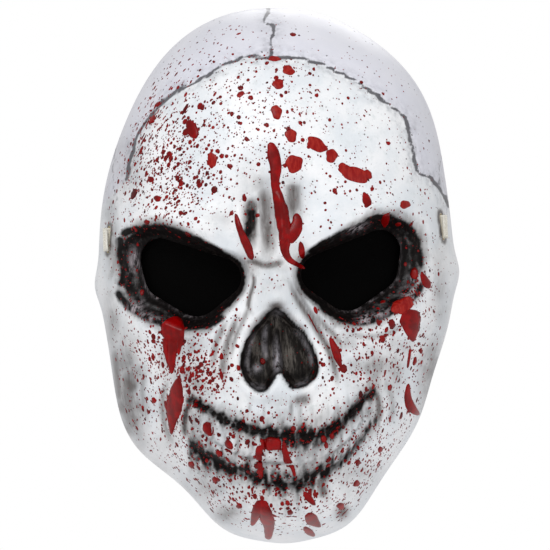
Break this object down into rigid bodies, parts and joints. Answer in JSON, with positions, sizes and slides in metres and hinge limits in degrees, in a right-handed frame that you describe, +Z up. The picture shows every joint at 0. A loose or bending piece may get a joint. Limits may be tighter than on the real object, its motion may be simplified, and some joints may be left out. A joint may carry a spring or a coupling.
{
  "type": "latex skull mask",
  "caption": "Face-only latex skull mask with meshed eye openings, sunken nose, bared teeth and an elastic head band.",
  "frame": {"origin": "midway between the two strap slots, on the line that the band swings about", "axes": "+Z up, the face looks along -Y, +X is the wearer's left"},
  "size_m": [0.1909, 0.1788, 0.28],
  "materials": {
    "painted_latex": "satin white paint with black airbrush shading and red splatter over cream latex",
    "black_mesh": "open woven mesh",
    "patch_cloth": "latex-soaked cotton gauze",
    "elastic": "woven elastic webbing",
    "thread": "twisted polyester thread",
    "blood_paint": "thick glossy red paint"
  },
  "bodies": {
    "mask": {"face_shell": "painted_latex", "eye_mesh_left": "black_mesh", "eye_mesh_right": "black_mesh", "slot_patch_left": "patch_cloth", "slot_patch_right": "patch_cloth", "strap_end_left": "elastic", "strap_end_right": "elastic", "end_stitches_left": "thread", "end_stitches_right": "thread"},
    "band": {"strap_band": "elastic"}
  },
  "joints": [
    {"name": "strap_swing", "type": "hinge", "parent": "mask", "child": "band", "pos_m": [0, 0, 0], "axis": [1, 0, 0], "range_deg": [-30, 35]}
  ]
}
